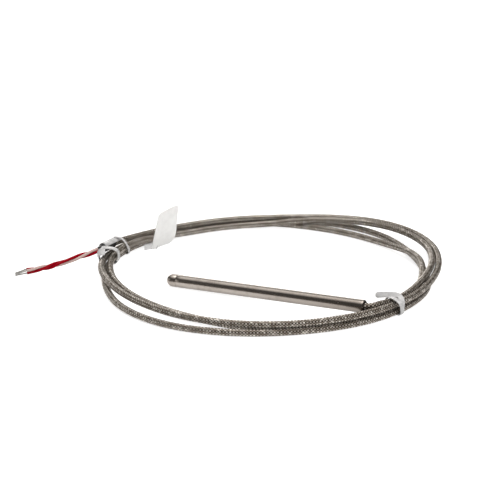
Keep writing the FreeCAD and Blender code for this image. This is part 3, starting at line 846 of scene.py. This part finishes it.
def eased(places: np.ndarray, values: np.ndarray, wanted: np.ndarray) -> np.ndarray:
    """Run a smooth line through values, level at each peak and dip.

    Args:
        places: where the values are given.
        values: the values.
        wanted: where the line is read.

    Returns:
        The line's values.
    """
    gaps = np.diff(places)
    slopes = np.diff(values) / gaps
    lean = np.concatenate(([slopes[0]], np.zeros(len(values) - 2), [slopes[-1]]))
    weighted = (slopes[:-1] * gaps[1:] + slopes[1:] * gaps[:-1]) / (gaps[1:] + gaps[:-1])
    lean[1:-1] = np.where(slopes[:-1] * slopes[1:] > 0, weighted, 0.0)
    part = np.clip(np.searchsorted(places, wanted, "right") - 1, 0, len(gaps) - 1)
    share = (wanted - places[part]) / gaps[part]
    start = values[part] * (1 + 2 * share) * (1 - share) ** 2
    stop = values[part + 1] * share ** 2 * (3 - 2 * share)
    bend = gaps[part] * (lean[part] * share * (1 - share) ** 2 - lean[part + 1] * share ** 2 * (1 - share))
    return start + stop + bend


@dataclass
class Cable:
    """The braid-covered cable from the probe's mouth through the coil to its free end, in millimetres."""

    probe: Probe
    diameter: float = 3.34
    inset: float = 3.0
    first_reach: float = 2.0
    turn_step: float = 12.0
    groups: int = 7
    pick: float = 1.45
    relief: float = 0.24
    valley: float = 0.06
    uv_name: str = "braid"

    LEAD = ((54.4, 5.3, 6.2), (56.8, 11.3, 5.6))
    TAIL = ((-93.8, 26.5, 6.8), (-93.4, 20.2, 7.4), (-93.2, 15.0, 7.6))

    def route(self) -> list[Vector]:
        """Lay the cable out of the probe, round the coil and to its free end.

        Returns:
            The control points of the whole cable in metres.
        """
        rear = self.probe.reach
        start = [self.probe.axis_point(rear - self.inset), self.probe.axis_point(rear + self.first_reach)]
        places, radii, heights = STATIONS.T
        turns = np.linspace(places[0], places[-1], round((places[-1] - places[0]) / self.turn_step) + 1)
        # A curve of order 3 runs inside its control points, since each neighbour counts for an eighth.
        cut_in = (6 + 2 * cos(radians(self.turn_step))) / 8
        wide = eased(places, radii, turns) / cut_in
        coil = [on_coil(*station) for station in zip(turns, wide, eased(places, heights, turns))]
        return start + [mm(point) for point in self.LEAD] + coil + [mm(point) for point in self.TAIL]

    def weave(self, bm: BMesh, line: np.ndarray) -> None:
        """Raise the braid's crossings and count them in a UV map.

        Args:
            bm: the plain tube, ring after ring.
            line: the points that it follows.
        """
        sides = 2 * self.groups
        swing = self.relief / self.diameter
        for vertex in bm.verts:
            ring, column = divmod(vertex.index, sides)
            middle = Vector(line[ring])
            raised = 1.0 + swing if (ring + column) % 2 else 1.0 - swing
            vertex.co = middle + (vertex.co - middle) * raised
        bm.normal_update()
        layer = bm.loops.layers.uv.new(self.uv_name)
        quads = [face for face in bm.faces if len(face.verts) == 4]
        for face in quads:
            wraps = {corner.index % sides for corner in face.verts} == {0, sides - 1}
            for loop in face.loops:
                ring, column = divmod(loop.vert.index, sides)
                column = sides if wraps and column == 0 else column
                loop[layer].uv = (ring / 2, column / 2)
        bmesh.ops.poke(bm, faces=quads, offset=-self.valley * MM)

    def build(self) -> None:
        line = read_line(self.route(), self.pick / 2 * MM)
        radius = (self.diameter - self.relief) / 2 * MM
        tube = sweep(line, [radius] * len(line), 2 * self.groups)
        self.weave(tube, line)
        finish = BraidedSteel().make("bright_braid", self.uv_name)
        mesh = as_mesh("braided_cable", tube)
        piece = add_piece(mesh, finish, ["cable_lead", "cable_coil", "cable_tail"])
        riders = [EndSleeve(line).build(), EndFilm(line).build(), RIGHT_TIE.build(), LEFT_TIE.build()]
        riders += Tag().build()


@dataclass
class EndSleeve:
    """The black sleeve shrunk over the cable's free end, in millimetres."""

    line: np.ndarray
    radius: float = 2.12
    cover: float = 8.0
    length: float = 13.0
    neck: float = 1.62
    ripple: float = 0.05
    ripple_rate: float = 31.0
    steps: int = 24
    sides: int = 32

    def build(self) -> Object:
        """Sweep the sleeve along the cable's end and draw it in over the wires.

        Returns:
            The sleeve.
        """
        path = past_end(self.line, self.cover * MM, (self.length - self.cover) * MM, self.steps)
        share = np.linspace(0.0, 1.0, len(path))
        drawn = np.clip(2.0 * share - 1.0, 0.0, 1.0)
        radii = self.radius - (self.radius - self.neck) * drawn ** 2 * (3 - 2 * drawn)
        radii += self.ripple * np.sin(share * self.ripple_rate) * np.sin(share * pi)
        mesh = as_mesh("shrunk_sleeve", sweep(path, radii * MM, self.sides))
        return add_piece(mesh, BLACK_SHRINK.make("black_shrink"), ["end_sleeve"])


class WireKind(Enum):
    """The free wires: CAD name, colour slot and place round the bundle in degrees."""

    RED_A = ("red_a", Slot.RED, 200.0)
    RED_B = ("red_b", Slot.RED, 320.0)
    WHITE = ("white", Slot.WHITE, 80.0)


@dataclass
class FreeWires:
    """The three twisted wires that leave the cable, with their bare ends, in millimetres."""

    radius: float = 0.65
    spacing: float = 0.8
    splay: float = 0.3
    splay_run: float = 9.0
    step: float = 1.7
    bare: float = 5.6
    bare_inset: float = 0.4
    bare_steps: int = 14
    strand: float = 0.12
    strands: int = 6
    strand_sides: int = 8
    strand_turns: float = 0.7
    strand_flare: float = 0.35
    gather: float = 0.45

    LEAD_OUT = 4.5
    ROUTE = ((-96.5, 6.0, 6.7), (-99.2, 1.5, 6.1), (-103.0, -4.2, 4.9), (-107.4, -9.2, 3.6),
             (-111.8, -13.4, 2.7), (-116.4, -17.4, 2.2))
    MEETING = (-120.3, -20.9, 1.1)
    TWIST = ((0.0, -60.0), (0.16, 0.0), (0.42, 140.0), (0.62, 190.0), (0.8, 340.0), (0.92, 420.0),
             (1.0, 435.0))

    def bundle(self) -> np.ndarray:
        """Lay the bundle's middle from the cable's end.

        Returns:
            The points that it follows, one a row.
        """
        before, start = (mm(point) for point in Cable.TAIL[-2:])
        first = start + (start - before).normalized() * self.LEAD_OUT * MM
        return read_line([start, first] + [mm(point) for point in self.ROUTE], self.step * MM)

    def wire_points(self, middle: np.ndarray, first_angle: float) -> list[Vector]:
        """Lay one wire round the bundle.

        Args:
            middle: the points of the bundle's middle.
            first_angle: the wire's place round the bundle at its start, in degrees.

        Returns:
            The wire's control points in metres.
        """
        parts = len(middle) - 1
        points = []
        for index, (place, heading) in enumerate(zip(middle, headings(middle))):
            share = index / parts
            angle = radians(first_angle + np.interp(share, *zip(*self.TWIST)))
            left = (1.0 - share) * parts * self.step
            apart = self.spacing + self.splay * max(0.0, 1.0 - left / self.splay_run) ** 2
            points.append(Vector(place + across(heading, angle) * apart * MM))
        return points

    def bare_end(self, name: str, start: Vector, heading: Vector) -> Mesh:
        """Make the tinned strands of one stripped wire end.

        Args:
            name: the mesh's name.
            start: where the insulation ends.
            heading: which way the wire points there.

        Returns:
            The strands as one mesh.
        """
        turn = heading.to_track_quat("Z", "Y").to_matrix()
        threads = []
        for number in range(self.strands + 1):
            line = []
            for share in np.linspace(0.0, 1.0, self.bare_steps + 1):
                angle = tau * (number / self.strands + self.strand_turns * share)
                away = 2.0 * self.strand * (1.0 + self.strand_flare * share ** 3)
                if number == self.strands:
                    away = 0.0
                along = share * (self.bare + self.bare_inset) - self.bare_inset
                line.append(start + turn @ mm((away * cos(angle), away * sin(angle), along)))
            threads.append(sweep(np.array(line), [self.strand * MM] * len(line), self.strand_sides))
        return join(name, threads)

    def build(self) -> None:
        finishes = {
            Slot.RED: insulation(srgb(146, 0, 20), srgb(108, 0, 14)).make("red_insulation"),
            Slot.WHITE: insulation(srgb(192, 168, 162), srgb(166, 142, 136)).make("white_insulation"),
        }
        tinned = grainy(srgb(206, 204, 200), srgb(150, 148, 146), roughness=0.3, metallic=1.0,
                        scale=5200.0).make("tinned_strands")
        middle = self.bundle()
        for kind in WireKind:
            name, slot, angle = kind.value
            points = self.wire_points(middle, angle)
            curve = nurbs(f"free_wire_{name}", points, self.radius * MM)
            wire = add_piece(curve, finishes[slot], [f"pigtail_{name}"])
            tip = mm(self.MEETING) + (points[-1] - Vector(middle[-1])) * self.gather
            heading = (tip - points[-1]).normalized()
            strands = self.bare_end(f"bare_strands_{name}", points[-1], heading)
            end = add_piece(strands, tinned, [f"bare_end_{name}"])
            length = float(runs_along(read_line(points, MM))[-1])
            LOG.info("wire %s %.1f mm long", name, length / MM)


@dataclass
class EndFilm:
    """The clear film of the left tie over the cable's free end, in millimetres."""

    line: np.ndarray
    radius: float = 2.5
    before: float = 12.5
    beyond: float = 1.6
    first: float = 10.0
    last: float = 150.0
    dent: float = 0.16
    dent_rate: float = 3.1
    dent_drift: float = 0.4
    thickness: float = 0.15
    rounding: float = 0.04
    steps: int = 20
    columns: int = 17
    alpha: float = 0.8

    def build(self) -> Object:
        """Wrap the film round the sleeve's upper side.

        Returns:
            The film.
        """
        path = past_end(self.line, self.before * MM, self.beyond * MM, self.steps)
        angles = np.radians(np.linspace(self.first, self.last, self.columns))
        rows = []
        for index, (place, heading) in enumerate(zip(path, headings(path))):
            dents = self.dent * np.sin(self.dent_rate * angles + self.dent_drift * index)
            rows.append([Vector(place + across(heading, angle) * (self.radius + dent) * MM)
                         for angle, dent in zip(angles, dents)])
        mesh = as_mesh("end_film", sheet(rows, self.thickness * MM))
        finish = replace(MILKY_STRIP, alpha=self.alpha).make("end_film")
        return soften(add_piece(mesh, finish), self.rounding)


@dataclass(frozen=True)
class Strip:
    """A strip of tie film: places as turn, radius and height, width, and how upright its start stands."""

    places: tuple[Point, ...]
    width: float
    upright: float = 0.0
    upright_part: float = 1 / 3
    tip_inset: float = 0.3
    spacing: float = 0.4

    def rows(self) -> list[list[Vector]]:
        """Lay the strip flat on what it runs over, its start rounded.

        Returns:
            Its points across its width, row after row.
        """
        line = read_line([on_coil(*place) for place in self.places], self.spacing * MM)
        found = []
        for index, (place, heading) in enumerate(zip(line, headings(line))):
            outward = place[:2] - np.array(COIL_MIDDLE) * MM
            flat = unit(np.array([-outward[1], outward[0], 0.0]))
            lift = radians(self.upright) * max(0.0, 1.0 - index / len(line) / self.upright_part)
            wide = flat * cos(lift) + np.array(UP) * sin(lift)
            past = min(1.0, (index + self.tip_inset) * 2.0 * self.spacing / self.width)
            half = self.width * MM / 2 * sqrt(1.0 - (1.0 - past) ** 2)
            wide = unit(wide - heading * np.dot(wide, heading)) * half
            found.append([Vector(place + wide * share) for share in (-1.0, 0.0, 1.0)])
        return found


@dataclass(frozen=True)
class Flap:
    """A loose end of tie film between two edges, each given as places of turn, radius and height."""

    first: tuple[Point, ...]
    second: tuple[Point, ...]
    steps: int = 14
    columns: int = 9
    bulge: float = 0.5
    spacing: float = 0.1

    def rows(self) -> list[list[Vector]]:
        """Span the flap from edge to edge, bulging upwards between them.

        Returns:
            Its points from edge to edge, row after row.
        """
        edges = [spaced(read_line([on_coil(*place) for place in places], self.spacing * MM), self.steps)
                 for places in (self.first, self.second)]
        shares = np.linspace(0.0, 1.0, self.columns)
        rises = [mm((0.0, 0.0, self.bulge * sin(pi * share))) for share in shares]
        return [[Vector(near + (far - near) * share) + rise for share, rise in zip(shares, rises)]
                for near, far in zip(*edges)]


@dataclass(frozen=True)
class Tie:
    """A milky tie round the coil: strips and flaps, in millimetres."""

    name: str
    node: str
    bands: tuple[Union[Strip, Flap], ...]
    thickness: float = 0.32
    rounding: float = 0.1

    def build(self) -> Object:
        """Join the bands, round their edges and dress them.

        Returns:
            The tie.
        """
        mesh = join(self.name, [sheet(band.rows(), self.thickness * MM) for band in self.bands])
        finish = MILKY_STRIP.make(f"{self.name}_film")
        return soften(add_piece(mesh, finish, [self.node]), self.rounding)


RIGHT_TIE = Tie("right_tie", "tie_right", (
    Strip((
        (-44.8, 64.4, 7.3), (-43.7, 66.3, 7.5), (-42.4, 68.5, 7.9), (-41.7, 70.5, 8.2), (-41.3, 73.0, 8.5),
        (-41.4, 75.2, 8.3), (-41.9, 77.3, 6.9), (-42.4, 78.2, 4.2), (-42.5, 77.2, 0.4), (-42.5, 73.4, 0.35),
        (-42.7, 69.4, 0.4), (-42.9, 69.0, 3.6), (-43.1, 69.4, 7.2), (-43.6, 72.6, 8.1), (-44.6, 75.8, 8.3),
        (-45.1, 79.0, 8.0), (-44.8, 80.2, 6.1), (-44.0, 79.6, 3.8), (-43.4, 78.8, 1.8), (-42.9, 77.2, 0.6),
    ), 2.4, 70.0),
))
LEFT_TIE = Tie("left_tie", "tie_left", (
    Strip((
        (169.6, 79.6, 9.4), (169.8, 82.6, 9.3), (170.4, 84.2, 6.6), (170.2, 84.0, 3.4), (169.6, 83.4, 0.5),
        (168.0, 79.6, 0.5), (165.8, 77.2, 0.7), (167.4, 75.5, 3.0), (168.8, 75.0, 5.4), (169.4, 74.9, 8.0),
        (169.6, 77.4, 9.5), (169.6, 81.6, 9.4),
    ), 3.2),
    Strip((
        (158.8, 82.6, 9.8), (158.8, 85.4, 8.0), (158.8, 85.2, 3.0), (158.4, 83.4, 0.5), (156.4, 79.6, 0.5),
        (155.8, 77.2, 0.6), (156.6, 76.0, 1.8), (158.0, 75.1, 3.8), (159.0, 75.1, 5.8), (158.9, 76.3, 7.7),
        (158.8, 77.8, 9.2), (158.8, 80.0, 10.0), (158.8, 82.6, 9.9),
    ), 1.6),
    Flap(((168.8, 85.2, 7.9), (170.8, 84.9, 7.7), (172.6, 84.2, 7.3), (173.9, 83.8, 6.4)),
         ((168.8, 81.4, 9.8), (170.8, 80.9, 9.3), (172.6, 80.3, 8.4), (173.9, 80.1, 7.8))),
))


@dataclass
class Tag:
    """The white marker tag, in millimetres: a leaf that leans inwards, held to a strand by a clear tab."""

    turn: float = 141.6
    foot_radius: float = 69.0
    foot_height: float = 0.7
    width: float = 16.8
    height: float = 20.4
    lean: float = 12.3
    tilt: float = 0.6
    foot_twist: float = 1.8
    top_twist: float = -6.6
    corner: float = 1.6
    foot_corner: float = 5.0
    corner_steps: int = 8
    thickness: float = 0.3
    rounding: float = 0.06
    bow: float = 0.4
    first_cut: float = 0.06
    cuts: int = 15
    tab_along: float = 4.4
    tab_length: float = 6.9
    tab_turned: float = 28.0
    tab_low: float = 0.5
    tab_high: float = 3.7
    tab_bow: float = 0.5
    tab_thickness: float = 0.15
    tab_rounding: float = 0.04
    tab_alpha: float = 0.5
    tab_rows: int = 13
    tab_columns: int = 5

    def foot(self) -> Matrix:
        """Find the tag's frame: X along the cable, Y up, Z outwards from the coil's middle.

        Returns:
            The frame in metres.
        """
        angle = radians(self.turn + COIL_ZERO)
        stand = Matrix.Rotation(angle + pi / 2, 4, "Z") @ Matrix.Rotation(pi / 2, 4, "X")
        return Matrix.Translation(on_coil(self.turn, self.foot_radius, 0.0)) @ stand

    def leaf(self) -> Mesh:
        """Make the folded leaf with rounded corners, bowed a little and leaning inwards.

        Returns:
            The leaf's mesh.
        """
        bm = bmesh.new()
        bmesh.ops.create_grid(bm, x_segments=1, y_segments=1, size=0.5)
        bmesh.ops.scale(bm, vec=(self.width * MM, self.height * MM, 1.0), verts=bm.verts)
        for vertex in bm.verts[:]:
            offset = self.foot_corner if max(vertex.co.x, vertex.co.y) < 0.0 else self.corner
            bmesh.ops.bevel(bm, geom=[vertex], offset=offset * MM, affect="VERTICES",
                            segments=self.corner_steps, profile=0.5, material=-1)
        bmesh.ops.translate(bm, vec=(0.0, self.height * MM / 2, 0.0), verts=bm.verts)
        for share in np.linspace(self.first_cut, 1.0 - self.first_cut, self.cuts):
            upright = (((share - 0.5) * self.width, 0.0, 0.0), (1.0, 0.0, 0.0))
            level = ((0.0, share * self.height, 0.0), (0.0, 1.0, 0.0))
            for place, normal in (upright, level):
                geom = bm.verts[:] + bm.edges[:] + bm.faces[:]
                bmesh.ops.bisect_plane(bm, geom=geom, plane_co=mm(place), plane_no=normal)
        for vertex in bm.verts:
            aside, up = vertex.co.x, vertex.co.y
            twist = radians(np.interp(up, (0.0, self.height * MM), (self.foot_twist, self.top_twist)))
            bowed = self.bow * MM * cos(pi * aside / (self.width * MM))
            vertex.co = (aside * cos(twist), up, bowed + aside * sin(twist))
        bmesh.ops.solidify(bm, geom=bm.faces[:], thickness=self.thickness * MM)
        bmesh.ops.recalc_face_normals(bm, faces=bm.faces)
        raised = Matrix.Translation((0.0, self.foot_height * MM, 0.0))
        leaning = Matrix.Rotation(-radians(self.lean), 4, "X")
        tilted = Matrix.Rotation(-radians(self.tilt), 4, "Z")
        bmesh.ops.transform(bm, matrix=self.foot() @ raised @ leaning @ tilted, verts=bm.verts)
        return as_mesh("marker_tag", bm)

    def tab(self) -> Mesh:
        """Make the clear tab from the leaf's foot to the strand beside it.

        Returns:
            The tab's mesh.
        """
        turned = radians(self.tab_turned)
        heights = np.linspace(self.tab_low, self.tab_high, self.tab_columns)
        rows = []
        for share in np.linspace(0.0, 1.0, self.tab_rows):
            reach = share * self.tab_length
            bend = self.tab_bow * sin(pi * share)
            along = self.tab_along + reach * cos(turned) - bend * sin(turned)
            out = reach * sin(turned) + bend * cos(turned) - self.thickness
            rows.append([self.foot() @ mm((along, height, out)) for height in heights])
        return as_mesh("tag_tab", sheet(rows, self.tab_thickness * MM))

    def build(self) -> list[Object]:
        """Make and dress the leaf and its tab.

        Returns:
            Both pieces.
        """
        leaf = add_piece(self.leaf(), TAG_FILM.make("tag_film"), ["flag_tag"])
        leaf.data.shade_flat()
        clear = replace(MILKY_STRIP, alpha=self.tab_alpha).make("clear_film")
        tab = add_piece(self.tab(), clear)
        return [soften(leaf, self.rounding), soften(tab, self.tab_rounding)]


@dataclass
class InnerParts:
    """What the sheath holds: shown as the CAD solids with their own matter."""

    nodes: dict[str, Object]

    MATTER = {
        Slot.CEMENT: (grainy(srgb(214, 208, 196), srgb(186, 178, 164), 0.85), ("tip_filler",)),
        Slot.CERAMIC: (grainy(srgb(240, 236, 228), srgb(226, 220, 210), 0.45), ("element_body",)),
        Slot.LEAD: (grainy(srgb(210, 208, 204), srgb(182, 180, 176), 0.25, 1.0),
                    ("element_lead_a", "element_lead_b")),
        Slot.GLASS_BRAID: (grainy(srgb(232, 228, 216), srgb(204, 198, 182), 0.7, 0.0, 3600.0),
                           ("lead_sleeve_a", "lead_sleeve_b")),
        Slot.CRIMP: (grainy(srgb(196, 190, 180), srgb(168, 160, 150), 0.35, 1.0),
                     ("crimp_red", "crimp_white")),
        Slot.SPLICE: (grainy(srgb(190, 150, 80), srgb(164, 122, 58), 0.3),
                      ("splice_sleeve_red", "splice_sleeve_white")),
        Slot.RED: (insulation(srgb(172, 10, 38), srgb(128, 6, 26)),
                   ("inner_wire_red_a", "inner_wire_red_b")),
        Slot.WHITE: (insulation(srgb(240, 232, 218), srgb(216, 204, 188)), ("inner_wire_white",)),
        Slot.POTTING: (grainy(srgb(52, 50, 48), srgb(74, 70, 66), 0.6), ("rear_seal",)),
        Slot.BRAID: (grainy(srgb(176, 170, 162), srgb(92, 86, 80), 0.4, 1.0, 2600.0), ("cable_held_end",)),
    }

    def build(self) -> None:
        """Give every inner solid its matter."""
        for slot, (matter, names) in self.MATTER.items():
            finish = matter.make(f"inner_{slot.value}")
            for name in names:
                self.nodes[name].data.materials.clear()
                self.nodes[name].data.materials.append(finish)
                LOG.info("%s dressed", name)


@dataclass
class Studio:
    """Pale floor, soft light and the photograph's camera."""

    target: Point = (-14.06, 32.37, 0.0)
    distance: float = 850.0
    elevation: float = 19.5
    azimuth: float = 26.4
    focal_pixels: float = 1802.0
    target_pixel: Pair = (268.0, 276.0)
    floor_side: float = 8.0
    floor_tone: Colour = srgb(196, 196, 195)
    floor_roughness: float = 0.9
    floor_glow: float = 0.8
    floor_shine: float = 0.6
    screen_back: float = 0.12
    screen_edge: Pair = (0.66, 0.92)
    screen: Colour = (1.1, 1.08, 1.05, 1.0)
    core_edge: Pair = (0.91, 0.98)
    core: Colour = (3.6, 3.55, 3.46, 1.0)
    wall_left: float = 0.25
    wall_edge: Pair = (0.82, 0.97)
    wall: Colour = (3.0, 2.95, 2.88, 1.0)
    side_edge: Pair = (0.86, 0.98)
    side: Colour = (1.0, 0.98, 0.95, 1.0)
    dim: Colour = (0.1, 0.095, 0.09, 1.0)

    # Each lamp's place and side in metres and its power in watts.
    LAMPS = {"fill_lamp": ((1.1, -0.6, 0.6), 1.0, 14.0), "top_lamp": ((-0.2, 0.3, 1.6), 1.6, 8.0)}

    def camera(self) -> None:
        """Place the camera at the photograph's viewpoint."""
        data = bpy.data.cameras.new("camera")
        data.lens = data.sensor_width * self.focal_pixels / PHOTO_SIDE
        half = PHOTO_SIDE / 2
        data.shift_x = (half - self.target_pixel[0]) / PHOTO_SIDE
        data.shift_y = (self.target_pixel[1] - half) / PHOTO_SIDE
        turn = radians(self.azimuth)
        lift = radians(self.elevation)
        back = Vector((sin(turn) * cos(lift), -cos(turn) * cos(lift), sin(lift)))
        camera = show(data)
        camera.location = mm(self.target) + back * self.distance * MM
        camera.rotation_euler = (-back).to_track_quat("-Z", "Y").to_euler()
        bpy.context.scene.camera = camera

    def floor(self) -> None:
        """Lay the floor, white to the eye and to reflections, with the object's soft shadow."""
        bm = bmesh.new()
        bmesh.ops.create_grid(bm, x_segments=1, y_segments=1, size=self.floor_side / 2)
        mesh = as_mesh("floor", bm)
        graph = Graph.material("pale_floor")
        seen = graph.node("ShaderNodeLightPath", {}, {}, "Is Camera Ray")
        mirrored = graph.node("ShaderNodeLightPath", {}, {}, "Is Glossy Ray")
        white_part = seen + mirrored * self.floor_shine
        mesh.materials.append(graph.finish({
            "Base Color": self.floor_tone,
            "Roughness": self.floor_roughness,
            "Specular IOR Level": 0.0,
            "Emission Color": graph.mix(white_part, srgb(0, 0, 0), srgb(255, 255, 255)),
            "Emission Strength": self.floor_glow,
        }))
        show(mesh)

    def lamps(self) -> None:
        """Hang soft square lamps that face the object and do not show in polished metal."""
        for name, (place, side, power) in self.LAMPS.items():
            data = bpy.data.lights.new(name, "AREA")
            data.size = side
            data.energy = power
            lamp = show(data)
            lamp.visible_glossy = False
            lamp.location = place
            lamp.rotation_euler = (mm(self.target) - Vector(place)).to_track_quat("-Z", "Y").to_euler()

    def sky(self) -> None:
        """Light the room: dim, with a bright screen overhead, a pale wall low behind and a pale side."""
        world = bpy.data.worlds.new("room")
        bpy.context.scene.world = world
        graph = Graph(world, "Background")
        direction = graph.node("ShaderNodeTexCoord", {}, {}, "Generated")
        turn = radians(self.azimuth)
        behind = Vector((-sin(turn), cos(turn), 0.0))
        beside = Vector((-cos(turn), -sin(turn), 0.0))
        beyond = (behind + beside * self.wall_left).normalized()
        overhead = (behind * self.screen_back + Vector(UP)).normalized()
        to_wall, to_screen, to_side = (
            graph.node("ShaderNodeVectorMath", {"operation": "DOT_PRODUCT"}, {0: direction, 1: aim}, "Value")
            for aim in (beyond, overhead, beside))
        left = graph.mix(to_side.step(*self.side_edge), self.dim, self.side)
        low = graph.mix(to_wall.step(*self.wall_edge), left, self.wall)
        high = graph.mix(to_screen.step(*self.core_edge), self.screen, self.core)
        graph.finish({"Color": graph.mix(to_screen.step(*self.screen_edge), low, high)})

    def build(self) -> None:
        """Set up the whole studio."""
        bpy.context.scene.view_settings.view_transform = "Standard"
        self.camera()
        self.floor()
        self.sky()
        self.lamps()


def main() -> None:
    """Build every sub-assembly in order and report each piece."""
    logging.basicConfig(level=logging.INFO, format="%(name)s: %(message)s")
    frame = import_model()
    probe = Probe()
    probe.build()
    InnerParts(frame["nodes"]).build()
    Cable(probe).build()
    FreeWires().build()
    Studio().build()


if __name__ == "__main__":
    main()
